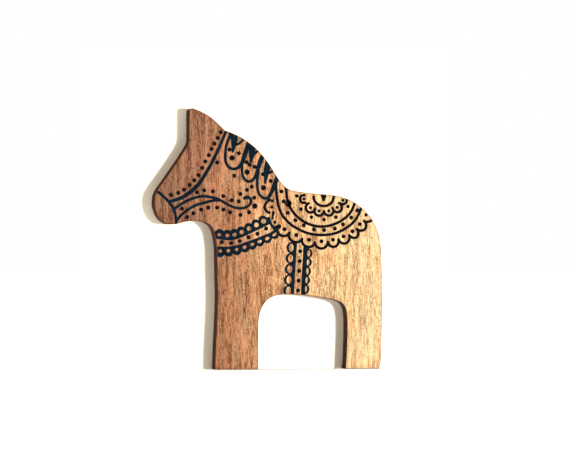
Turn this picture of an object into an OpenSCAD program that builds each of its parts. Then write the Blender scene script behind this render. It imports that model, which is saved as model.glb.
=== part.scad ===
// Dala horse: a flat cut-out of three-ply board, standing on its feet, with a harness inked on its front.
// +Z is up, the nose points to -X and the inked front faces -Y.
// The origin is on the ground, under the middle of the board.

/* [Board] */
// Height from the feet to the tip of the ear
horse_h = 50; // [40:1:150]
// Thickness of the whole board
board_t = 4; // [3:0.5:8]
// Thickness of each face veneer
veneer_t = 0.8; // [0.5:0.1:1.2]
// Thickness of each glue line between two plies
glue_t = 0.08; // [0.05:0.01:0.15]

/* [Hanging hole] */
// Diameter of the hole drilled through the board under the withers
hole_d = 1.15; // [0.9:0.05:1.6]

/* [Pen] */
// Width of a pen line
pen_w = 0.54; // [0.45:0.01:0.6]
// Diameter of a plain dot
dot_d = 0.8; // [0.6:0.05:0.9]
// Diameter of a heavy dot
big_dot_d = 1.05; // [0.9:0.05:1.2]
// Thickness of the dried ink
ink_t = 0.04; // [0.02:0.01:0.1]
// Bare wood left between the ink and the cut edge
edge_gap = 0.12; // [0.05:0.01:0.2]

/* [Hidden] */

face_wood = [0.70, 0.48, 0.33];
core_wood = [0.45, 0.30, 0.20];
glue_brown = [0.25, 0.15, 0.10];
ink_blue = [0.06, 0.11, 0.18];

// ---- Depths, from the inked front (lowest Y) to the back ----
total_t = board_t + ink_t;
ink_y = -total_t / 2;
front_y = ink_y + ink_t;
front_glue_y = front_y + veneer_t;
core_y = front_glue_y + glue_t;
back_y = total_t / 2 - veneer_t;
back_glue_y = back_y - glue_t;

// ---- Outline: smooth runs that meet at corners, clockwise from the tip of the ear ----
// Every point below is [along X, up Z] on the horse as drawn, about 50 mm tall, and is scaled to horse_h.
ear_run = [[-14.7, 50], [-13, 49.3], [-11.1, 48.2], [-8.8, 46.1]];
crest_run = [
    [-8.5, 45.8], [-5.6, 44.6], [-2.7, 42.6], [-0.5, 40.2], [1, 38], [2.4, 35.9], [4, 34.5], [6.4, 34]
];
back_run = [[6.4, 34], [9.2, 33.7], [12.6, 33.4], [15.6, 32.6], [18.2, 31], [20.5, 28.3], [21.8, 24.6]];
hind_run = [[21.8, 24.6], [22.1, 19.6], [22.2, 13.4], [22.1, 7], [21.9, 1.4], [21.5, 0]];
arch_run = [
    [15, 0], [15.2, 4], [15.3, 8], [15.2, 10.6], [14.6, 12.3], [13, 13.2], [9.2, 13.9],
    [5.6, 14.3], [2.4, 14.3], [0.2, 13.6], [-1.2, 12], [-1.9, 9.6], [-2, 5.6], [-2, 0]
];
chest_run = [[-10.4, 0], [-10.3, 4], [-10.1, 8], [-9.9, 13.4], [-10, 19.2], [-10.1, 23.6], [-10.7, 26.6]];
throat_run = [
    [-10.7, 26.6], [-11.9, 28], [-13.9, 28.5], [-16, 28.3], [-18, 27.8], [-19.7, 27.9], [-21.1, 28.9]
];
nose_run = [
    [-21.1, 28.9], [-21.9, 30.6], [-22.1, 32.2], [-21.7, 34], [-20.2, 36.2], [-18.3, 38.9], [-16.3, 41.9]
];
brow_run = [[-16.3, 41.9], [-15.5, 43.4], [-15.4, 45.2], [-15.4, 49.6]];
outline_runs = [ear_run, concat(crest_run, tail(back_run), tail(hind_run)), arch_run,
    concat(chest_run, tail(throat_run), tail(nose_run), tail(brow_run))];

// ---- Harness lines ----
noseband = [[-22.2, 34.6], [-20.2, 33], [-19.1, 31.8], [-18.4, 30.7], [-18, 29.4], [-17.9, 27.2]];
cheek_strap = [[-8.1, 46], [-9.6, 42.5], [-10.9, 39.8], [-12.1, 37.7], [-13.4, 35.7], [-15, 34.1],
    [-16.8, 32.9], [-19.2, 32.1]];
scroll_top = [[-18.4, 30.7], [-16, 32.2], [-13.4, 33.1], [-11.3, 33], [-9.6, 32.5], [-7.6, 31.4],
    [-6, 30.9], [-4.6, 31], [-3.6, 31.7], [-3.5, 32.6], [-4.1, 33], [-4.7, 32.8]];
// Share of a line's length, and its width there in pen widths
strap_swell = [[0, 1.05], [0.35, 1.2], [0.7, 1.5], [1, 1.2]];
scroll_swell = [[0, 1], [0.8, 1], [0.95, 1.35], [1, 1.2]];
scroll_foot = [
    [-17.9, 28.4], [-16.9, 29.6], [-15.5, 30.7], [-14, 31.5], [-12.5, 31.9], [-11, 32.3], [-9.6, 32.4]
];
saddle_rim = [[1.4, 36.4], [1.5, 33.8], [1.8, 31.8], [2.4, 30], [3.5, 28.5], [5, 27.3], [7.3, 26.2],
    [9.3, 25.8], [11.4, 25.8], [13.3, 26.2], [15.1, 27.1], [16.6, 28.3], [17.6, 29.8], [18.3, 31.6]];
saddle_hem = [[3.3, 35.6], [3.5, 33.3], [3.9, 31.7], [4.7, 30.2], [6, 28.9], [7.7, 27.9], [9.6, 27.4],
    [11.6, 27.5], [13.4, 28.1], [15, 29.1], [16.1, 30.3], [17, 32.4]];
collar_top = [[-10.6, 25.4], [-7.8, 25], [-5.7, 25.4], [-3.7, 26.3], [-1.5, 27.3], [0.2, 28.2]];
collar_foot = [[-10.5, 23.3], [-8, 23.3], [-6, 23.6], [-3.7, 24.4], [-1.5, 25.2], [0.6, 26.1], [1.6, 26.9]];
collar_end = [[0, 29], [0.3, 28.1], [0.8, 27.3], [1.3, 26.7]];
girth_front = [[5.2, 24.3], [5, 21], [4.8, 17.8], [4.6, 13.6]];
girth_rear = [[7.1, 23.3], [7, 20.6], [6.8, 17.6], [6.6, 13.6]];

// ---- Mane: three hanging locks, each with a leaf inside that grows from the crest ----
// A lock goes down its front side, round its tip and up its rear side to the crest.
mane_locks = [
    [[-7.1, 45.7], [-8.1, 43.3], [-8.4, 41.6], [-8.4, 40.1], [-7.9, 38.9], [-7, 38.4], [-6, 38.6],
        [-5.2, 39.5], [-4.7, 41], [-4.2, 42.4], [-3.8, 43.8]],
    [[-5.2, 39.5], [-5.2, 38.2], [-5, 37], [-4.3, 36.1], [-3.4, 36.1], [-2.7, 36.8], [-2.2, 38],
        [-1.8, 39.3], [-1.3, 40.6], [-0.7, 41.4]],
    [[-1.9, 38.9], [-2.2, 36.6], [-2.2, 34.8], [-1.8, 33.5], [-0.9, 32.8], [-0.2, 32.9], [0.4, 33.7],
        [1, 35], [1.5, 36.3], [2.1, 37.5]]
];
lock_swell = [[0, 1], [0.35, 1], [0.6, 1.15], [0.8, 1.7], [1, 1.6]];
mane_leaves = [
    [[-7.4, 45.4], [-6.8, 43.9], [-6.8, 42.8], [-7, 41.7]],
    [[-2.9, 42.9], [-3.1, 41.6], [-3.3, 40.7], [-3.5, 39.7]],
    [[-0.2, 39.9], [-0.4, 38.6], [-0.5, 37.3], [-0.7, 35.7]]
];
leaf_swell = [[0, 1.6], [0.5, 2.1], [1, 0.8]];
leaf_arms = [
    [[-6.5, 43], [-5.7, 43.3], [-4.8, 44.1]],
    [[-3.2, 40.8], [-2.7, 41.3], [-2, 42]],
    [[-0.1, 37.6], [0.4, 37.8], [1.1, 38.3]]
];
leaf_seconds = [
    [[-6.3, 45], [-6.2, 44], [-6.5, 43.2]],
    [[-3.6, 43.2], [-3.6, 42], [-3.5, 40.8]],
    [[0.4, 39.2], [0.1, 38.6], [-0.1, 37.8]]
];

// ---- Dots placed by eye ----
cheek_dots = [[-9.3, 45.4], [-9.9, 44.3], [-10.5, 43.2], [-11.1, 42.2], [-11.6, 41], [-12.3, 39.8],
    [-12.9, 38.6], [-13.6, 37.2], [-14.4, 36.2], [-15.3, 35.3], [-16.4, 34.4], [-17.5, 33.8], [-18.9, 33.4]];
saddle_dots = [[2.5, 34.1], [2.9, 32.2], [3.7, 30], [5.2, 28.6], [6.8, 27.6], [8.8, 26.8], [10.8, 26.7],
    [12.9, 27], [14.5, 27.8], [16.1, 29.1], [17.3, 30.5]];
collar_dots = [[-9.1, 24.4], [-7.3, 24.2], [-5.6, 24.6], [-3.9, 25.3], [-2.2, 26], [-0.5, 27]];
mane_dots = [[-7.6, 42.1], [-5.8, 41.4], [-4.3, 39.7], [-2.7, 38.8], [-1.1, 37.4], [0.4, 36.1], [-3.7, 39.2],
    [-6.7, 37.1], [-3.3, 35], [-10, 39.6]];
mane_big_dots = [[-7.1, 40.5], [-4.2, 37.8], [-1, 34.8]];
scroll_upper_dots = [[-13.9, 33.9], [-12.5, 34.3], [-10.8, 34.1], [-8.8, 33.2], [-7.2, 32.4], [-5.8, 32.2],
    [-5.5, 33.6], [-4.2, 34.4], [-2.8, 32.9]];
scroll_lower_dots = [[-15.8, 29.2], [-14.6, 29.9], [-13.1, 30.6], [-11.7, 31], [-10, 31], [-8.8, 30.6],
    [-7.5, 30.1], [-5.5, 29.6], [-3.8, 30.1], [-16.8, 30.8]];
scroll_big_dots = [[-2.7, 31.3]];

// ---- Rosette: half a flower that hangs from the back line ----
// The petals and the dots beyond them are drawn freehand, so their steps are uneven.
rosette_c = [10.7, 33.1];
rosette_ring = [1.95, 1.8];
petal_ring = [3.9, 2.8];
petal_angles = [189, 229, 257, 285, 313, 346];
petal_r = 0.92;
petal_sweep = 105;
end_petal_r = 0.75;
spray_ring = [5.25, 4.4];
spray_angles = [178, 213, 243, 271, 297, 335];

rosette_drop = [[10.7, 33.2], [10.7, 32.4]];
drop_swell = [[0, 2.2], [1, 0.8]];

// ---- Lace: scallops that hang between these points, each bulging away from the rosette ----
lace_points = [[1.8, 27.3], [4, 26.2], [6.5, 25], [9, 24.3], [11.5, 24.4], [13.6, 24.9], [15.7, 25.7],
    [17.2, 26.9], [18.6, 28.5], [20.2, 28.8]];
lace_depth = 1.2;
lace_last_depth = 0.35;
lace_first = [[0.2, 32.5], [-0.4, 32], [-0.8, 31.1], [-0.5, 30.4], [0.1, 30]];
lace_tick = [[0.9, 30], [0.8, 29.5], [0.7, 28.9]];
tick_swell = [[0, 1.2], [0.5, 0.8], [1, 0.7]];
lace_knot = [[1.3, 27], [2, 27.4]];
lace_extra_dots = [[0.7, 32.3], [0.6, 31.1], [1.2, 28.2], [19, 29.6]];

// ---- Counts and offsets of what repeats along a line ----
// A span is a pair of shares of the line's length, and a gap is to the left of the line.
collar_top_loops = 7;
collar_top_span = [0.015, 0.985];
collar_top_depths = [1.3, 1.55];
collar_top_widths = [1.5 * pen_w, 1.2 * pen_w];
collar_foot_loops = 8;
collar_foot_span = [0.015, 0.975];
collar_foot_depths = [1.15, 1.35];
collar_foot_widths = [1.1 * pen_w, 1.65 * pen_w];
girth_loops = 5;
girth_front_span = [0.04, 1];
girth_front_depths = [1.6, 1.45];
girth_front_w = 1.15 * pen_w;
girth_rear_span = [0.02, 0.9];
girth_rear_depths = [1.25, 1];
girth_rear_w = 1.5 * pen_w;
girth_dot_n = 5;
girth_dot_gap = 1.05;
girth_dot_span = [0.15, 0.855];

hole_c = [3.8, 31.8];
curve_steps = 5;
cap_angles = [60, 30, 0, -30, -60];

// ---- Curves ----
function tail(list) = [for (i = [1:len(list) - 1]) list[i]];
function spline_point(a, b, c, d, t) =
    (2 * b + (c - a) * t + (2 * a - 5 * b + 4 * c - d) * pow(t, 2) + (3 * b - a - 3 * c + d) * pow(t, 3)) / 2;
// A smooth line through every point of the list
function smooth(p, n = curve_steps) = let (last = len(p) - 1) concat(
    [for (i = [0:last - 1]) for (s = [0:n - 1])
        spline_point(p[max(i - 1, 0)], p[i], p[i + 1], p[min(i + 2, last)], s / n)],
    [p[last]]);
function left_of(v) = [-v[1], v[0]];
function unit(v) = v / norm(v);
function heading(p, i) = unit(p[min(i + 1, len(p) - 1)] - p[max(i - 1, 0)]);
function lengths(p) = [for (i = 0, s = 0; i < len(p);
    s = s + norm(p[min(i + 1, len(p) - 1)] - p[i]), i = i + 1) s];
// The stretch of a line that holds a distance along it
function stretch_at(far, d) = max([for (i = [0:len(far) - 2]) if (far[i] <= d) i]);
// The point a share of the way along a line, moved to its left by a gap
function along(p, share, gap = 0) = let (
    far = lengths(p),
    d = share * far[len(far) - 1],
    i = stretch_at(far, d),
    way = unit(p[i + 1] - p[i])
) p[i] + way * (d - far[i]) + left_of(way) * gap;
// Points evenly along a smooth line, between two shares of its length, moved to its left by a gap
function row(p, n, span, gap) = [for (i = [0:n - 1])
    along(smooth(p), span[0] + (span[1] - span[0]) * i / (n - 1), gap)];
function ellipse_point(c, r, a) = c + [r[0] * cos(a), r[1] * sin(a)];
function oval(c, way, long_r, short_r, n = 20) = [for (i = [0:n - 1])
    c + way * long_r * cos(360 * i / n) + left_of(way) * short_r * sin(360 * i / n)];
function arc(c, r, from, to, n = 12) = [for (i = [0:n]) ellipse_point(c, r, from + (to - from) * i / n)];
// Half an ellipse from one point to the next, bulging to the left of the way between them
function bulge(a, b, depth, n = 10) = let (m = (a + b) / 2, h = (b - a) / 2) [for (i = [0:n])
    m - h * cos(180 * i / n) + left_of(unit(h)) * depth * sin(180 * i / n)];

// ---- Pen strokes ----
// The outside of a loop that stands on a line between two shares of its length
function loop_rim(line, from, step, depth, w) = let (
    a = along(line, from),
    b = along(line, from + step),
    way = unit(b - a)
) bulge(a - way * w / 2, b + way * w / 2, depth + w / 2);
// The hole of the same loop, from the edge of the line to the inside of the loop
function loop_hole(line, from, step, depth, line_w, w) = let (
    a = along(line, from),
    b = along(line, from + step),
    way = unit(b - a),
    near = line_w / 2,
    far = depth - w / 2
) oval((a + b) / 2 + left_of(way) * (near + far) / 2, way, (norm(b - a) - w) / 2, (far - near) / 2);
function width_at(w, share) = is_num(w) ? w : pen_w * lookup(share, w);
function cap(c, way, w) = [for (a = cap_angles) c + w / 2 * (way * cos(a) + left_of(way) * sin(a))];
function edge(p, w, sign) = let (last = len(p) - 1) [for (i = [0:last])
    p[i] + sign * left_of(heading(p, i)) * width_at(w, i / last) / 2];
function reversed(list) = [for (i = [len(list) - 1:-1:0]) list[i]];
// The outline of a stroke with round ends
function ribbon(p, w) = let (last = len(p) - 1) concat(
    edge(p, w, 1), cap(p[last], heading(p, last), width_at(w, 1)),
    reversed(edge(p, w, -1)), cap(p[0], -heading(p, 0), width_at(w, 0)));

module stroke(p, w = pen_w) {
    polygon(ribbon(smooth(p), w));
}

module raw_stroke(p, w = pen_w) {
    polygon(ribbon(p, w));
}

module dots(points, d = dot_d) {
    for (p = points) translate(p) circle(d = d, $fn = 20);
}

// The value at step i of n, on the way from the first of a pair to the second
function stepped(pair, i, n) = pair[0] + (pair[1] - pair[0]) * i / (n - 1);

// Loops side by side on the left of a line, each with a round hole
module loops(p, n, span, depths, line_w, widths) {
    line = smooth(p);
    step = (span[1] - span[0]) / n;
    places = [for (i = [0:n - 1]) [span[0] + i * step, stepped(depths, i, n), stepped(widths, i, n)]];
    difference() {
        for (q = places) polygon(loop_rim(line, q[0], step, q[1], q[2]));
        for (q = places) polygon(loop_hole(line, q[0], step, q[1], line_w, q[2]));
    }
}

// ---- Board ----
outline = [for (run = outline_runs) each smooth(run)];
outline_x = [for (p = outline) p[0]];
middle_x = (max(outline_x) + min(outline_x)) / 2;
size = horse_h / max([for (p = outline) p[1]]);

// The outline moved inwards
function inset(p, gap) = let (n = len(p)) [for (i = [0:n - 1])
    p[i] - left_of(unit(p[(i + 1) % n] - p[(i + n - 1) % n])) * gap];

module face(gap = 0, hole_gap = 0) {
    difference() {
        polygon(gap > 0 ? inset(outline, gap) : outline);
        translate(hole_c) circle(d = (hole_d + 2 * hole_gap) / size, $fn = 48);
    }
}

// Stands a flat shape up at depth y, t thick towards the back
module layer(y, t) {
    translate([-middle_x * size, y + t, 0])
        rotate([90, 0, 0])
        linear_extrude(t)
        scale([size, size])
        children();
}

module ink() {
    color(ink_blue) layer(ink_y, ink_t) intersection() {
        union() children();
        face(edge_gap, edge_gap / 2);
    }
}

module front_veneer() {
    color(face_wood) layer(front_y, veneer_t) face();
}

module front_glue_line() {
    color(glue_brown) layer(front_glue_y, glue_t) face();
}

module core_ply() {
    color(core_wood) layer(core_y, back_glue_y - core_y) face();
}

module back_glue_line() {
    color(glue_brown) layer(back_glue_y, glue_t) face();
}

module back_veneer() {
    color(face_wood) layer(back_y, veneer_t) face();
}

// ---- Ink ----
petals = [for (a = petal_angles) ellipse_point(rosette_c, petal_ring, a)];

module bridle_2d() {
    stroke(noseband);
    stroke(cheek_strap, strap_swell);
    stroke(scroll_top, scroll_swell);
    stroke(scroll_foot);
}

module mane_2d() {
    for (p = mane_locks) stroke(p, lock_swell);
    for (p = mane_leaves) stroke(p, leaf_swell);
    for (p = leaf_arms) stroke(p, 0.9 * pen_w);
    for (p = leaf_seconds) stroke(p, 0.9 * pen_w);
}

module collar_2d() {
    stroke(collar_top);
    stroke(collar_foot);
    stroke(collar_end);
    loops(collar_top, collar_top_loops, collar_top_span, collar_top_depths, pen_w, collar_top_widths);
    loops(reversed(collar_foot), collar_foot_loops, collar_foot_span, collar_foot_depths, pen_w,
        collar_foot_widths);
}

module saddle_2d() {
    stroke(saddle_rim);
    stroke(saddle_hem);
}

module lace_2d() {
    n = len(lace_points) - 1;
    for (i = [0:n - 1])
        raw_stroke(bulge(lace_points[i + 1], lace_points[i], i < n - 1 ? lace_depth : lace_last_depth));
    stroke(lace_first);
    stroke(lace_tick, tick_swell);
    stroke(lace_knot, 1.6 * pen_w);
}

module ink_bridle_lines() {
    ink() bridle_2d();
}

module ink_bridle_dots() {
    ink() {
        dots(concat(cheek_dots, scroll_upper_dots, scroll_lower_dots));
        dots(scroll_big_dots, big_dot_d);
    }
}

module ink_mane_locks() {
    ink() mane_2d();
}

module ink_mane_dots() {
    ink() difference() {
        union() {
            dots(mane_dots);
            dots(mane_big_dots, big_dot_d);
        }
        mane_2d();
        bridle_2d();
    }
}

module ink_collar_lines() {
    ink() collar_2d();
}

module ink_collar_dots() {
    ink() dots(collar_dots);
}

module ink_saddle_arcs() {
    ink() difference() {
        saddle_2d();
        mane_2d();
    }
}

module ink_saddle_dots() {
    ink() difference() {
        dots(saddle_dots);
        saddle_2d();
    }
}

module ink_rosette_lines() {
    ink() {
        raw_stroke(arc(rosette_c, rosette_ring, 180, 360));
        for (i = [0:len(petals) - 1]) {
            out = petals[i] - rosette_c;
            a = atan2(out[1], out[0]);
            r = i == 0 || i == len(petals) - 1 ? end_petal_r : petal_r;
            raw_stroke(arc(petals[i], [r, r], a - petal_sweep, a + petal_sweep));
        }
    }
}

module ink_rosette_dots() {
    ink() {
        dots(petals, 0.8 * dot_d);
        dots([for (a = spray_angles) ellipse_point(rosette_c, spray_ring, a)], 0.9 * dot_d);
        stroke(rosette_drop, drop_swell);
    }
}

module ink_lace_scallops() {
    ink() difference() {
        lace_2d();
        collar_2d();
    }
}

module ink_lace_dots() {
    ink() difference() {
        union() {
            dots([for (i = [0:len(lace_points) - 3])
                (lace_points[i] + lace_points[i + 1]) / 2 + unit(rosette_c - lace_points[i]) * 0.2]);
            dots(lace_extra_dots, 0.8 * dot_d);
        }
        lace_2d();
    }
}

module ink_girth_lines() {
    ink() difference() {
        union() {
            stroke(girth_front, girth_front_w);
            stroke(girth_rear, girth_rear_w);
            loops(reversed(girth_front), girth_loops, girth_front_span, girth_front_depths, girth_front_w,
                [pen_w, pen_w]);
            loops(girth_rear, girth_loops, girth_rear_span, girth_rear_depths, girth_rear_w,
                [0.9 * pen_w, 0.9 * pen_w]);
        }
        lace_2d();
    }
}

module ink_girth_dots() {
    ink() dots(row(girth_front, girth_dot_n, girth_dot_span, girth_dot_gap));
}

front_veneer();
front_glue_line();
core_ply();
back_glue_line();
back_veneer();
ink_bridle_lines();
ink_bridle_dots();
ink_mane_locks();
ink_mane_dots();
ink_collar_lines();
ink_collar_dots();
ink_saddle_arcs();
ink_saddle_dots();
ink_rosette_lines();
ink_rosette_dots();
ink_lace_scallops();
ink_lace_dots();
ink_girth_lines();
ink_girth_dots();
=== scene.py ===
import math

import bmesh
import bpy
import numpy as np
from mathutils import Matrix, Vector
from mathutils.geometry import delaunay_2d_cdt


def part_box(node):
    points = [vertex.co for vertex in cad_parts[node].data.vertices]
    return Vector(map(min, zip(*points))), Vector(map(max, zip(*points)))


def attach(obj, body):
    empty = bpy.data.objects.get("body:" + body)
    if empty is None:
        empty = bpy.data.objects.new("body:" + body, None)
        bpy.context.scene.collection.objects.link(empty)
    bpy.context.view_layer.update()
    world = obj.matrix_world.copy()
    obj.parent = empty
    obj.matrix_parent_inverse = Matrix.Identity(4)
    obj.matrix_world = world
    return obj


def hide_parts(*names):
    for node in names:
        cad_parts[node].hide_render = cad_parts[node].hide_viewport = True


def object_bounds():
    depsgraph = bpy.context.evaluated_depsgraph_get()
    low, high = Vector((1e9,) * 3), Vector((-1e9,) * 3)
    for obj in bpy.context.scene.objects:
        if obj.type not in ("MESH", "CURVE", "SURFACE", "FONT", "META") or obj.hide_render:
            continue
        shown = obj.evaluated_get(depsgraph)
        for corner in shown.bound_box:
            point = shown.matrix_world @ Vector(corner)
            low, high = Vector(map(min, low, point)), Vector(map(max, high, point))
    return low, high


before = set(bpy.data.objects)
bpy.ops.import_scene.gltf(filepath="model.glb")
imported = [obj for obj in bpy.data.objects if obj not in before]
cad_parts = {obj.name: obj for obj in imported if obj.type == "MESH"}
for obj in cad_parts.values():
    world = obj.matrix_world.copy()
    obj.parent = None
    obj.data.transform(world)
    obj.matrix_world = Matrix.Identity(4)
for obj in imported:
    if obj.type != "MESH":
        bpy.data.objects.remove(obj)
CAD_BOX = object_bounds()

MM = 0.001
BODY = "root"

# ---- Camera: level, ten degrees to the horse's head side, aimed at the inked face ----
VIEW_TURN = math.radians(10)
VIEW_DISTANCE = 700 * MM
AIM = Vector((3.117, -2.02, 27.577)) * MM
LENS = 230.64  # lens and sensor are in millimetres
SENSOR_WIDTH = 36

# ---- Lights ----
# A turn is to the viewer's right of straight in front of the inked face, a rise is above level,
# and a spread is how wide the light's source looks.
LIGHT_AIM = Vector((0, 0, 25 * MM))
KEY_TURN = math.radians(24)
KEY_RISE = math.radians(1)
KEY_DISTANCE = 450 * MM
KEY_SIZE = 50 * MM
KEY_STRENGTH = 1.5
KEY_COLOR = (1.0, 0.98, 0.95)
TOP_RISE = math.radians(86)
TOP_TURN = math.radians(15)
TOP_SPREAD = math.radians(50)
TOP_STRENGTH = 1.1
TOP_COLOR = (1.0, 0.98, 0.95)
REAR_RISE = math.radians(4)
REAR_TURN = math.radians(168)
REAR_SPREAD = math.radians(16)
REAR_STRENGTH = 0.85
REAR_COLOR = (1.0, 0.98, 0.95)
ROOM_COLOR = (0.17, 0.122, 0.052, 1)
BACKGROUND_COLOR = (1, 1, 1, 1)

# ---- Stage ----
FLOOR_HALF = 1500 * MM
FLOOR_COLOR = (0.93, 0.93, 0.93, 1)
CARD_HALF = 36 * MM
CARD_HEIGHT = 62 * MM
CARD_GAP = 0.03 * MM
CARD_COLOR = (0.93, 0.87, 0.75, 1)

# ---- Board ----
WELD = 1e-7  # metres between points of the CAD mesh that count as one
SEEN_FROM_FRONT = -0.9  # a face whose normal has less Y than this looks to the front
CORNER_TURN = math.radians(28)  # a sharper turn than this in the outline stays a corner
CURVE_PARTS = 8  # between one point of the CAD outline and the next
EDGE_STEP = 0.14 * MM  # between points along the cut edge
FACE_STEP = 0.42 * MM  # between points of the grid that fills a shown face
GRID_CLEAR = 0.6  # grid steps kept clear along the edge
FILL_WELD = 1e-6  # millimetres between points of a filled face that count as one
AT_ONCE = 500  # points whose way to the edge is measured in one go
FRONT_ROUND = 0.09 * MM
BACK_ROUND = 0.06 * MM
ROUND_PARTS = 3
GLUE_RECESS = 0.035 * MM
CORE_RECESS = 0.012 * MM
# The laser's fine lines: [mm from one to the next, mm deep]
STRIAE = ((0.24, 0.006), (0.37, 0.008), (0.71, 0.007), (1.9, 0.006))
SWELLS = 5  # times that each set of lines grows and fades round a loop
WAVE_SEED = 7


# ---------------------------------------------------------------- colours
def linear(r, g, b, gain=1.0):
    """An sRGB colour, 0 to 255, as the linear colour that Blender takes."""
    out = []
    for c in (r, g, b):
        c = c / 255
        out.append((c / 12.92 if c <= 0.04045 else ((c + 0.055) / 1.055) ** 2.4) * gain)
    return (*out, 1.0)


# ---------------------------------------------------------------- node helpers
# The colour sockets of a mix node, by number because its sockets share their names
MIX_A, MIX_B, MIX_RESULT = 6, 7, 2


class Shader:
    """A material and short calls that add and join its nodes."""

    def __init__(self, name):
        self.material = bpy.data.materials.new(name)
        self.material.use_nodes = True
        self.tree = self.material.node_tree
        self.surface = self.tree.nodes["Principled BSDF"]
        self.place = self.add("ShaderNodeTexCoord").outputs["Object"]

    def add(self, kind, **settings):
        node = self.tree.nodes.new(kind)
        for key, value in settings.items():
            setattr(node, key, value)
        return node

    def join(self, value, socket):
        """Links a socket, or sets a plain number or colour."""
        if isinstance(value, bpy.types.NodeSocket):
            self.tree.links.new(value, socket)
        else:
            socket.default_value = value

    def math(self, operation, a, b=0.0, c=0.0):
        node = self.add("ShaderNodeMath", operation=operation)
        for value, socket in zip((a, b, c), node.inputs):
            self.join(value, socket)
        return node.outputs[0]

    def scaled(self, x, y, z, place=None):
        """Object coordinates, or another place, times so many cells a millimetre along each axis."""
        node = self.add("ShaderNodeVectorMath", operation="MULTIPLY")
        self.join(place or self.place, node.inputs[0])
        node.inputs[1].default_value = (x / MM, y / MM, z / MM)
        return node.outputs[0]

    def shifted(self, place, amount):
        node = self.add("ShaderNodeVectorMath", operation="ADD")
        self.join(place, node.inputs[0])
        self.join(amount, node.inputs[1])
        return node.outputs[0]

    def noise(self, place, detail=3.0, rough=0.5, output="Fac"):
        node = self.add("ShaderNodeTexNoise")
        self.join(place, node.inputs["Vector"])
        node.inputs["Scale"].default_value = 1.0
        node.inputs["Detail"].default_value = detail
        node.inputs["Roughness"].default_value = rough
        return node.outputs[output]

    def spread(self, value, low, high, to_low=0.0, to_high=1.0):
        """The value's way from low to high, as a number from to_low to to_high."""
        node = self.add("ShaderNodeMapRange", clamp=True)
        self.join(value, node.inputs["Value"])
        ends = {"From Min": low, "From Max": high, "To Min": to_low, "To Max": to_high}
        for key, number in ends.items():
            self.join(number, node.inputs[key])
        return node.outputs["Result"]

    def mix(self, share, a, b, blend="MIX"):
        node = self.add("ShaderNodeMix", data_type="RGBA", blend_type=blend)
        self.join(share, node.inputs["Factor"])
        self.join(a, node.inputs[MIX_A])
        self.join(b, node.inputs[MIX_B])
        return node.outputs[MIX_RESULT]

    def tinted(self, color, tint):
        return self.mix(1.0, color, tint, "MULTIPLY")

    def ramp(self, value, stops):
        node = self.add("ShaderNodeValToRGB")
        line = node.color_ramp
        while len(line.elements) < len(stops):
            line.elements.new(0.5)
        for element, (place, color) in zip(line.elements, stops):
            element.position = place
            element.color = color
        self.join(value, node.inputs[0])
        return node.outputs[0]

    def axis(self, name):
        node = self.add("ShaderNodeSeparateXYZ")
        self.join(self.place, node.inputs[0])
        return node.outputs[name]

    def distance_to(self, point):
        node = self.add("ShaderNodeVectorMath", operation="DISTANCE")
        self.join(self.place, node.inputs[0])
        node.inputs[1].default_value = point
        return node.outputs["Value"]

    def attribute(self, name):
        return self.add("ShaderNodeAttribute", attribute_name=name).outputs["Fac"]

    def relief(self, height, distance, strength):
        """Bump on the surface from a height that stands for so many metres."""
        node = self.add("ShaderNodeBump")
        node.inputs["Strength"].default_value = strength
        node.inputs["Distance"].default_value = distance
        self.join(height, node.inputs["Height"])
        self.join(node.outputs[0], self.surface.inputs["Normal"])


# ---------------------------------------------------------------- materials
WOOD_SPAN = 44.3
# The face's tone from the muzzle to the tail, the veneer's own tone with painted light: [mm from the
# middle, sRGB]
# Its paling towards the tail is partly a painted brightening, as from light falling from the right.
WOOD_AND_LIGHT_TONES = (
    (-21.5, (143, 94, 63)), (-14, (156, 101, 68)), (-9, (174, 115, 75)), (-5.5, (182, 125, 82)),
    (-2, (198, 140, 93)), (2.5, (217, 160, 109)), (7, (228, 177, 123)), (13, (234, 188, 134)),
    (20, (241, 200, 147)),
)
FACE_LIGHT = 2.25  # how brightly the lights fill the inked face
# What the plain tone is multiplied by
NO_TINT = (1, 1, 1, 1)
STREAK_DARK = (0.4, 0.28, 0.2, 1)
STREAK_LIGHT = (1.62, 1.86, 2.2, 1)
RED_TINT = (1.09, 0.94, 0.8, 1)
YELLOW_TINT = (0.97, 1.05, 1.0, 1)
PORE_TINT = (0.33, 0.24, 0.22, 1)
FLECK_TINT = (1.6, 1.85, 2.1, 1)
HALO_TINT = (0.62, 0.5, 0.42, 1)
TAIL_CONTRAST = 0.7  # how much of the streaks' contrast is left at the pale tail end
GRAIN_SWAY = 1.6 * MM
BROAD_SHARE, STREAK_SHARE, FIBRE_SHARE = 0.32, 0.36, 0.32  # in the tone of the grain
TONE_DRIFT = 5.0  # mm that the plain tones wander along the horse
# The scorched rim and the faint halo inside it, in mm from the cut edge
SCORCH = linear(74, 44, 30)
SCORCH_REACH = 0.16
SCORCH_SHARE = 0.9
HALO_START = 0.1
HALO_REACH = 0.75
HALO_SHARE = 0.22
# A paler patch on the face, by the end of the collar
PATCH_PLACE = (-0.6 * MM, 0, 27.4 * MM)
PATCH_REACH = 5.5 * MM
PATCH_LIFT = 9.0  # mm towards the pale end, in the tones above


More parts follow.
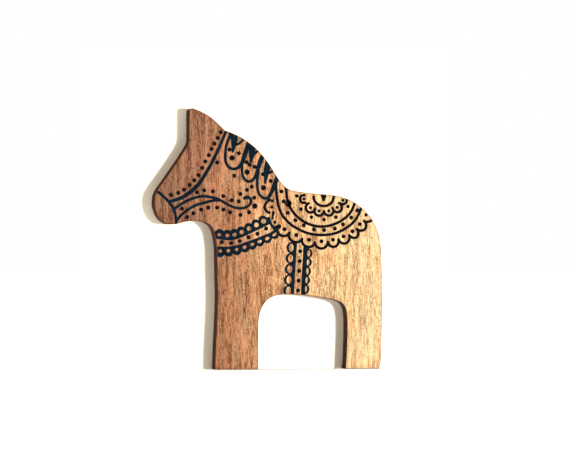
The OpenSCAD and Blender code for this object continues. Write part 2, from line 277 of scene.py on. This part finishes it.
def wood_face(name, contrast=1.0):
    """Rotary-cut birch under a thin satin varnish, with its grain upright and its cut edge scorched."""
    s = Shader(name)
    # Grain that sways to the side on its way up
    sway = s.noise(s.scaled(0.05, 0.05, 0.09), detail=2.0, output="Color")
    bend = s.add("ShaderNodeVectorMath", operation="MULTIPLY_ADD")
    s.join(sway, bend.inputs[0])
    bend.inputs[1].default_value = (GRAIN_SWAY, 0, 0)
    s.join(s.place, bend.inputs[2])
    grain = bend.outputs[0]
    broad = s.noise(s.scaled(1.1, 0.4, 0.09, grain), detail=3.0)
    streak = s.noise(s.scaled(4.2, 1.0, 0.5, grain), detail=2.0, rough=0.55)
    fibre = s.noise(s.scaled(8.5, 2.0, 2.4, grain), detail=1.0)
    tone = s.math("ADD", s.math("MULTIPLY", broad, BROAD_SHARE), s.math("MULTIPLY", streak, STREAK_SHARE))
    tone = s.math("MULTIPLY_ADD", fibre, FIBRE_SHARE, tone)
    tone = s.spread(tone, 0.435, 0.565)
    # The plain tone, with its painted light, along the horse, with an uneven drift and the paler patch
    x = s.math("MULTIPLY", s.axis("X"), 1 / MM)
    drift = s.math("MULTIPLY_ADD", s.noise(s.scaled(0.09, 0.09, 0.04)), TONE_DRIFT, -TONE_DRIFT / 2)
    x = s.math("ADD", x, drift)
    lift = s.spread(s.distance_to(PATCH_PLACE), 0.25 * PATCH_REACH, PATCH_REACH, PATCH_LIFT, 0.0)
    x = s.math("ADD", x, lift)
    share = s.spread(x, -WOOD_SPAN / 2, WOOD_SPAN / 2)
    stops = [((mm + WOOD_SPAN / 2) / WOOD_SPAN, linear(*c, 1 / FACE_LIGHT)) for mm, c in WOOD_AND_LIGHT_TONES]
    plain = s.ramp(share, stops)
    # Streaks, redder and yellower parts, dark pores and pale flecks
    streaks = s.mix(tone, STREAK_DARK, STREAK_LIGHT)
    depth = s.spread(share, 0.6, 0.88, contrast, TAIL_CONTRAST * contrast)
    wood = s.tinted(plain, s.mix(depth, NO_TINT, streaks))
    hue = s.noise(s.scaled(0.9, 0.5, 0.16, s.shifted(grain, (0.2, 0.5, 0))), detail=2.0)
    wood = s.tinted(wood, s.mix(s.spread(hue, 0.38, 0.62), RED_TINT, YELLOW_TINT))
    pore = s.noise(s.scaled(5.2, 2.0, 0.62, s.shifted(grain, (0.3, 0, 0.1))), detail=1.0)
    pore_share = s.math("MULTIPLY", s.spread(pore, 0.66, 0.74), s.spread(broad, 0.4, 0.6, 0.2, 0.65))
    wood = s.mix(pore_share, wood, s.tinted(plain, PORE_TINT))
    fleck = s.noise(s.scaled(4.0, 2.0, 0.55, s.shifted(grain, (0.7, 0, 0.9))), detail=1.0)
    fleck_share = s.math("MULTIPLY", s.spread(fleck, 0.58, 0.68), 0.85)
    wood = s.mix(fleck_share, wood, s.tinted(plain, FLECK_TINT))
    # Scorched at the cut edge, with a faint brown halo inside it
    uneven = s.math("MULTIPLY_ADD", s.noise(s.scaled(1.3, 1.3, 1.3), detail=3.0), 0.5, 0.75)
    rim = s.math("MULTIPLY", s.attribute("rim"), uneven)
    wood = s.mix(s.spread(rim, 0.0, SCORCH_REACH, SCORCH_SHARE, 0.0), wood, SCORCH)
    wood = s.mix(s.spread(rim, HALO_START, HALO_REACH, HALO_SHARE, 0.0), wood, s.tinted(wood, HALO_TINT))
    s.join(wood, s.surface.inputs["Base Color"])
    s.join(s.spread(tone, 0, 1, 0.76, 0.62), s.surface.inputs["Roughness"])
    s.surface.inputs["Specular IOR Level"].default_value = 0.2
    height = s.math("MULTIPLY_ADD", pore, -0.3, s.math("MULTIPLY_ADD", fibre, 0.4, streak))
    s.relief(height, 0.03 * MM, 0.6)
    return s.material


def charred_wall(name, dark, light, upright_grain=True, gloss=0.06):
    """Wood burnt brown by the laser that cut it, with the beam's fine lines from front to back."""
    s = Shader(name)
    beam = s.noise(s.scaled(4.5, 0.35, 4.5), detail=3.0, rough=0.6)
    cells = (3.0, 5.0, 0.5) if upright_grain else (0.6, 5.0, 3.0)
    fibre = s.noise(s.scaled(*cells), detail=3.0, rough=0.6)
    soot = s.noise(s.scaled(0.35, 0.7, 0.35), detail=3.0)
    tone = s.math("ADD", s.math("MULTIPLY", beam, 0.45), s.math("MULTIPLY", fibre, 0.3))
    tone = s.spread(s.math("MULTIPLY_ADD", soot, 0.35, tone), 0.42, 0.7)
    s.join(s.mix(tone, dark, light), s.surface.inputs["Base Color"])
    s.join(s.spread(tone, 0, 1, 0.62, 0.85), s.surface.inputs["Roughness"])
    s.surface.inputs["Specular IOR Level"].default_value = gloss
    s.relief(s.math("MULTIPLY_ADD", beam, 0.7, s.math("MULTIPLY", fibre, 0.3)), 0.05 * MM, 0.7)
    return s.material


WORN_INK = linear(38, 30, 26)


def pen_ink(name, navy, teal, teal_share):
    """Pen ink soaked into the wood: navy where it is thin, teal where it pools, broken by the grain."""
    s = Shader(name)
    pool = s.noise(s.scaled(1.1, 0.5, 1.1), detail=3.0, rough=0.6)
    grain = s.noise(s.scaled(3.2, 1.0, 0.8), detail=2.0, rough=0.6)
    share = s.spread(pool, 0.62 - 0.3 * teal_share, 0.82 - 0.3 * teal_share)
    color = s.mix(share, navy, teal)
    worn = s.math("MULTIPLY", s.spread(grain, 0.6, 0.74), 0.3)
    s.join(s.mix(worn, color, WORN_INK), s.surface.inputs["Base Color"])
    s.join(s.spread(pool, 0.3, 0.7, 0.85, 0.7), s.surface.inputs["Roughness"])
    s.surface.inputs["Specular IOR Level"].default_value = 0.05
    s.relief(s.math("MULTIPLY_ADD", grain, 0.6, pool), 0.02 * MM, 0.6)
    return s.material


def studio_paper(name, color):
    """Matt pale paper for the floor and the card behind."""
    s = Shader(name)
    tooth = s.noise(s.scaled(0.8, 0.8, 0.8), detail=4.0)
    darker = (*(c * 0.985 for c in color[:3]), 1)
    s.join(s.mix(tooth, color, darker), s.surface.inputs["Base Color"])
    s.surface.inputs["Roughness"].default_value = 0.95
    s.surface.inputs["Specular IOR Level"].default_value = 0.0
    return s


# ---------------------------------------------------------------- outlines from the CAD board
def front_loops(node):
    """The closed loops of (x, z) round the front of a flat CAD node, the longest first."""
    bm = bmesh.new()
    bm.from_mesh(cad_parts[node].data)
    bmesh.ops.remove_doubles(bm, verts=bm.verts, dist=WELD)
    front = {f for f in bm.faces if f.normal.y < SEEN_FROM_FRONT}
    after = {}
    for f in front:
        for loop in f.loops:
            if sum(g in front for g in loop.edge.link_faces) == 1:
                after[loop.vert.index] = loop.link_loop_next.vert.index
    at = {v.index: (v.co.x, v.co.z) for v in bm.verts}
    bm.free()
    loops = []
    while after:
        run, here = [], min(after)
        while here in after:
            run.append(at[here])
            here = after.pop(here)
        loops.append(np.array(run))
    return sorted(loops, key=len, reverse=True)


def turned(loop):
    """The angle that a closed loop turns through at each point."""
    into = loop - np.roll(loop, 1, axis=0)
    out = np.roll(loop, -1, axis=0) - loop
    cross = into[:, 0] * out[:, 1] - into[:, 1] * out[:, 0]
    return np.arctan2(cross, (into * out).sum(axis=1))


def smooth_run(run, step):
    """A run between two corners as a Catmull-Rom curve through its points, in even steps."""
    p = np.vstack([2 * run[0] - run[1], run, 2 * run[-1] - run[-2]])
    fine = []
    for a, b, c, d in zip(p, p[1:], p[2:], p[3:]):
        for t in np.linspace(0, 1, CURVE_PARTS, endpoint=False):
            fine.append(0.5 * (2 * b + (c - a) * t + (2 * a - 5 * b + 4 * c - d) * t * t
                               + (3 * b - a - 3 * c + d) * t ** 3))
    fine = np.vstack([fine, run[-1]])
    far = np.concatenate([[0], np.cumsum(np.linalg.norm(np.diff(fine, axis=0), axis=1))])
    marks = np.linspace(0, far[-1], max(2, round(far[-1] / step) + 1))
    return np.column_stack([np.interp(marks, far, fine[:, k]) for k in (0, 1)])


def smooth_loop(loop, step):
    """A closed loop in even steps, with its sharp corners kept."""
    corners = [i for i, a in enumerate(turned(loop)) if abs(a) > CORNER_TURN]
    if not corners:
        run = smooth_run(np.vstack([loop, loop[:1]]), step)
        return run[:-1]
    loop = np.roll(loop, -corners[0], axis=0)
    ends = [c - corners[0] for c in corners] + [len(loop)]
    closed = np.vstack([loop, loop[:1]])
    return np.vstack([smooth_run(closed[a:b + 1], step)[:-1] for a, b in zip(ends, ends[1:])])


def outward(loop):
    """The way out of the wood at each point, longer at a corner so that both its sides move alike."""
    into = loop - np.roll(loop, 1, axis=0)
    out = np.roll(loop, -1, axis=0) - loop
    sides = []
    for way in (into, out):
        way = way / np.linalg.norm(way, axis=1)[:, None]
        sides.append(np.column_stack([way[:, 1], -way[:, 0]]))
    both = sides[0] + sides[1]
    both /= np.linalg.norm(both, axis=1)[:, None]
    reach = np.clip((both * sides[0]).sum(axis=1), 0.5, 1)
    return both / reach[:, None]


def signed_area(loop):
    x, z = loop.T
    return 0.5 * (x * np.roll(z, -1) - np.roll(x, -1) * z).sum()


def laser_waves(loop, seed):
    """How far the beam's fine lines bite in at each point, in metres."""
    far = np.cumsum(np.linalg.norm(loop - np.roll(loop, 1, axis=0), axis=1))
    rng = np.random.RandomState(seed)
    bite = np.zeros(len(loop))
    for length, depth in STRIAE:
        turns = max(1, round(far[-1] / (length * MM)))
        wave = np.sin(2 * math.pi * turns * far / far[-1] + rng.uniform(0, 2 * math.pi))
        swell = 0.6 + 0.4 * np.sin(2 * math.pi * SWELLS * far / far[-1] + rng.uniform(0, 2 * math.pi))
        bite += (1 + wave * swell) / 2 * depth * MM
    return bite


# The board's edge and then the hole's: [points, way out of the wood, bite of the laser's lines]
LOOPS = []
for number, loop in enumerate(front_loops("front_veneer")):
    loop = smooth_loop(loop, EDGE_STEP)
    if (signed_area(loop) > 0) != (number == 0):
        loop = loop[::-1]  # the hole's edge runs the other way, so the wood is on the same side of both
    LOOPS.append((loop, outward(loop), laser_waves(loop, WAVE_SEED + number)))


def inside(points, loop):
    """Which points lie inside a closed loop."""
    hit = np.zeros(len(points), bool)
    for (x1, z1), (x2, z2) in zip(loop, np.roll(loop, -1, axis=0)):
        if z1 == z2:
            continue
        spans = (z1 > points[:, 1]) != (z2 > points[:, 1])
        hit ^= spans & (points[:, 0] < (x2 - x1) * (points[:, 1] - z1) / (z2 - z1) + x1)
    return hit


def edge_distance(points):
    """How far each point is from the nearest cut edge, in millimetres."""
    edge = np.vstack([loop for loop, _, _ in LOOPS])
    nearest = [np.linalg.norm(some[:, None] - edge[None], axis=2).min(axis=1)
               for some in np.array_split(points, math.ceil(len(points) / AT_ONCE))]
    return np.concatenate(nearest) / MM


def filled(rings, step):
    """The flat face between closed rings, the first outside, with a grid of inner points.

    Gives its points, its triangles and, for each point of the rings, its number among the points.
    """
    points = np.vstack(rings)
    edges, first = [], 0
    for ring in rings:
        n = len(ring)
        edges += [(first + i, first + (i + 1) % n) for i in range(n)]
        first += n
    if step:
        (x0, z0), (x1, z1) = rings[0].min(axis=0), rings[0].max(axis=0)
        rows = np.arange(z0, z1, step * math.sqrt(3) / 2)
        columns = np.arange(x0, x1, step)
        grid = np.array([(x + (k % 2) * step / 2, z) for k, z in enumerate(rows) for x in columns])
        grid = grid[inside(grid, rings[0])]
        grid = grid[edge_distance(grid) > GRID_CLEAR * step / MM]
        points = np.vstack([points, grid])
    made = delaunay_2d_cdt([Vector(p / MM) for p in points], edges, [], 0, FILL_WELD)
    verts = np.array([(v.x, v.y) for v in made[0]]) * MM
    tris = np.array(made[2])
    middle = verts[tris].mean(axis=1)
    keep = inside(middle, rings[0])
    for hole in rings[1:]:
        keep &= ~inside(middle, hole)
    where = {}
    for new, old in enumerate(made[3]):
        for k in old:
            where[k] = new
    return verts, tris[keep], [where[i] for i in range(first)]


def wall_profile(y_front, y_back, front_round, back_round, wall_parts):
    """(how far in, y) down the wall of a ply, from its front face round to its back face."""
    quarter = [math.pi / 2 * k / ROUND_PARTS for k in range(ROUND_PARTS + 1)]
    top, foot = y_front + front_round, y_back - back_round
    profile = [(front_round * (1 - math.sin(a)), y_front + front_round * (1 - math.cos(a)))
               for a in (quarter if front_round else quarter[:1])]
    profile += [(0, top + (foot - top) * k / wall_parts) for k in range(1, wall_parts)]
    profile += [(back_round * (1 - math.cos(a)), y_back - back_round * (1 - math.sin(a)))
                for a in (quarter if back_round else quarter[:1])]
    return profile


def ply(name, profile, recess, face_step, materials):
    """One closed ply, whose wall follows the CAD outline and is bitten by the laser's lines."""
    bm = bmesh.new()
    rim = bm.verts.layers.float.new("rim")
    rings = []
    for deep, y in profile:
        rows = []
        for loop, out, bite in LOOPS:
            at_edge = loop - out * (bite + recess + deep)[:, None]
            rows.append([bm.verts.new((x, y, z)) for x, z in at_edge])
        rings.append(rows)
    for rows, nexts in zip(rings, rings[1:]):
        for number, (row, after) in enumerate(zip(rows, nexts)):
            n = len(row)
            for i in range(n):
                j = (i + 1) % n
                face = bm.faces.new((row[i], row[j], after[j], after[i]))
                face.material_index = 1 + number  # the cut edge, then the hole's wall
                face.smooth = True
    for end, facing in ((0, -1), (-1, 1)):
        flat = [np.array([(v.co.x, v.co.z) for v in row]) for row in rings[end]]
        shown = (end == 0) == (profile[0][1] < 0)
        step = face_step if shown else 0
        points, tris, edge = filled(flat, step)
        verts = {}
        for ring_vert, k in zip([v for row in rings[end] for v in row], edge):
            verts[k] = ring_vert
        for k, (x, z) in enumerate(points):
            if k not in verts:
                verts[k] = bm.verts.new((x, profile[end][1], z))
        for a, b, c in tris:
            corners = (a, b, c) if facing < 0 else (a, c, b)
            bm.faces.new([verts[k] for k in corners]).material_index = 0
    bmesh.ops.recalc_face_normals(bm, faces=bm.faces)
    bm.normal_update()
    away = edge_distance(np.array([(v.co.x, v.co.z) for v in bm.verts]))
    for v, d in zip(bm.verts, away):
        v[rim] = d
    mesh = bpy.data.meshes.new(name)
    bm.to_mesh(mesh)
    bm.free()
    for material in materials:
        mesh.materials.append(material)
    piece = bpy.data.objects.new(name, mesh)
    bpy.context.scene.collection.objects.link(piece)
    return piece


# ---------------------------------------------------------------- the board
face_front = wood_face("birch_face_front")
face_back = wood_face("birch_face_back", contrast=0.9)
veneer_char = charred_wall("charred_veneer_edge", linear(44, 20, 10), linear(116, 68, 42))
core_char = charred_wall("charred_core_edge", linear(28, 11, 6), linear(80, 40, 22), upright_grain=False)
glue_char = charred_wall("burnt_glue_edge", linear(10, 6, 5), linear(32, 20, 14))
# The hole's wall is near black, far darker than the char of the cut edge: painted shade of the deep,
# narrow hole.
hole_char_and_shade = charred_wall("charred_hole_wall_and_shade", linear(3, 2, 2), linear(12, 8, 6), gloss=0.0)
core_inner = charred_wall("core_ply_inside", linear(150, 112, 76), linear(196, 158, 112),
                          upright_grain=False)

PLIES = {
    # node: (front rounding, back rounding, recess, parts of the wall, grid step of the shown face,
    #        slot, materials of the faces, the cut edge and the hole's wall)
    "front_veneer": (FRONT_ROUND, 0, 0, 3, FACE_STEP, "face_veneer", (face_front, veneer_char, hole_char_and_shade)),
    "front_glue_line": (0, 0, GLUE_RECESS, 1, 0, "glue", (glue_char, glue_char, hole_char_and_shade)),
    "core_ply": (0, 0, CORE_RECESS, 6, 0, "core", (core_inner, core_char, hole_char_and_shade)),
    "back_glue_line": (0, 0, GLUE_RECESS, 1, 0, "glue", (glue_char, glue_char, hole_char_and_shade)),
    "back_veneer": (0, BACK_ROUND, 0, 3, FACE_STEP, "face_veneer", (face_back, veneer_char, hole_char_and_shade)),
}
for node, (front, back, recess, wall_parts, face_step, slot, materials) in PLIES.items():
    low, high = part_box(node)
    profile = wall_profile(low.y, high.y, front, back, wall_parts)
    piece = ply(node + "_board", profile, recess, face_step, materials)
    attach(piece, BODY)
    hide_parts(node)

# ---------------------------------------------------------------- the ink
thin_ink = pen_ink("pen_ink_navy", navy=linear(3, 4, 8), teal=linear(1, 10, 18), teal_share=0.2)
rich_ink = pen_ink("pen_ink_teal", navy=linear(2, 6, 12), teal=linear(0, 20, 32), teal_share=0.9)
RICH = ("ink_collar_lines", "ink_mane_locks", "ink_bridle_lines", "ink_girth_lines")
for name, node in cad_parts.items():
    if name.startswith("ink_"):
        node.data.materials.clear()
        node.data.materials.append(rich_ink if name in RICH else thin_ink)


# ---------------------------------------------------------------- stage, lights and camera
def sheet(name, corners, material):
    mesh = bpy.data.meshes.new(name)
    mesh.from_pydata(corners, [], [(0, 1, 2, 3)])
    mesh.materials.append(material)
    obj = bpy.data.objects.new(name, mesh)
    bpy.context.scene.collection.objects.link(obj)
    return obj


def area_light(name, place, aim, size, strength, color):
    """A square soft light. Its strength is how bright it alone makes a white sheet at the aim."""
    lamp = bpy.data.lights.new(name, "AREA")
    lamp.size = size
    lamp.color = color
    far = (place - aim).length
    lamp.energy = strength * math.pi ** 2 * far ** 2
    obj = bpy.data.objects.new(name, lamp)
    obj.location = place
    obj.rotation_mode = "QUATERNION"
    obj.rotation_quaternion = (aim - place).to_track_quat("-Z", "Y")
    bpy.context.scene.collection.objects.link(obj)
    return obj


def sky_light(name, way, spread, strength, color):
    """An even soft light from afar. Its strength is how bright it alone makes a white sheet facing it."""
    lamp = bpy.data.lights.new(name, "SUN")
    lamp.angle = spread
    lamp.color = color
    lamp.energy = strength * math.pi
    obj = bpy.data.objects.new(name, lamp)
    obj.rotation_mode = "QUATERNION"
    obj.rotation_quaternion = (-way).to_track_quat("-Z", "Y")
    bpy.context.scene.collection.objects.link(obj)
    return obj


def toward(turn, rise):
    """The way from the horse to something at a turn and a rise."""
    return Vector((math.sin(turn) * math.cos(rise), -math.cos(turn) * math.cos(rise), math.sin(rise)))


sheet("floor", [(-FLOOR_HALF, -FLOOR_HALF, 0), (FLOOR_HALF, -FLOOR_HALF, 0),
                (FLOOR_HALF, FLOOR_HALF, 0), (-FLOOR_HALF, FLOOR_HALF, 0)],
      studio_paper("floor_paper", FLOOR_COLOR).material)

# A pale card close behind the horse takes its shadow, as the paper that it lies on does in the photo.
# It shows from the front only and blocks no light, so that the back of the horse is lit and seen too.
card_y = CAD_BOX[1].y + CARD_GAP
card_paper = studio_paper("card_paper", CARD_COLOR)
see_through = card_paper.add("ShaderNodeBsdfTransparent")
side = card_paper.add("ShaderNodeNewGeometry")
one_sided = card_paper.add("ShaderNodeMixShader")
card_paper.join(side.outputs["Backfacing"], one_sided.inputs[0])
card_paper.join(card_paper.surface.outputs[0], one_sided.inputs[1])
card_paper.join(see_through.outputs[0], one_sided.inputs[2])
card_paper.join(one_sided.outputs[0], card_paper.tree.nodes["Material Output"].inputs["Surface"])
card = sheet("card", [(-CARD_HALF, card_y, 0), (CARD_HALF, card_y, 0),
                      (CARD_HALF, card_y, CARD_HEIGHT), (-CARD_HALF, card_y, CARD_HEIGHT)],
             card_paper.material)
card.visible_shadow = False
card.visible_diffuse = False
card.visible_glossy = False
card.visible_transmission = False

key_place = LIGHT_AIM + toward(KEY_TURN, KEY_RISE) * KEY_DISTANCE
area_light("key", key_place, LIGHT_AIM, KEY_SIZE, KEY_STRENGTH, KEY_COLOR)
sky_light("top", toward(TOP_TURN, TOP_RISE), TOP_SPREAD, TOP_STRENGTH, TOP_COLOR)
sky_light("rear", toward(REAR_TURN, REAR_RISE), REAR_SPREAD, REAR_STRENGTH, REAR_COLOR)

world = bpy.data.worlds.new("studio")
bpy.context.scene.world = world
world.use_nodes = True
tree = world.node_tree
seen = tree.nodes.new("ShaderNodeLightPath")  # white where it is looked at, dimmer as light in the room
room = tree.nodes.new("ShaderNodeMix")
room.data_type = "RGBA"
room.inputs[MIX_A].default_value = ROOM_COLOR
room.inputs[MIX_B].default_value = BACKGROUND_COLOR
tree.links.new(seen.outputs["Is Camera Ray"], room.inputs["Factor"])
tree.links.new(room.outputs[MIX_RESULT], tree.nodes["Background"].inputs["Color"])
bpy.context.scene.view_settings.view_transform = "Standard"

camera = bpy.data.objects.new("camera", bpy.data.cameras.new("camera"))
camera.data.lens = LENS
camera.data.sensor_width = SENSOR_WIDTH
look = Vector((math.sin(VIEW_TURN), math.cos(VIEW_TURN), 0))
camera.location = AIM - look * VIEW_DISTANCE
camera.rotation_mode = "QUATERNION"
camera.rotation_quaternion = look.to_track_quat("-Z", "Y")
bpy.context.scene.collection.objects.link(camera)
bpy.context.scene.camera = camera
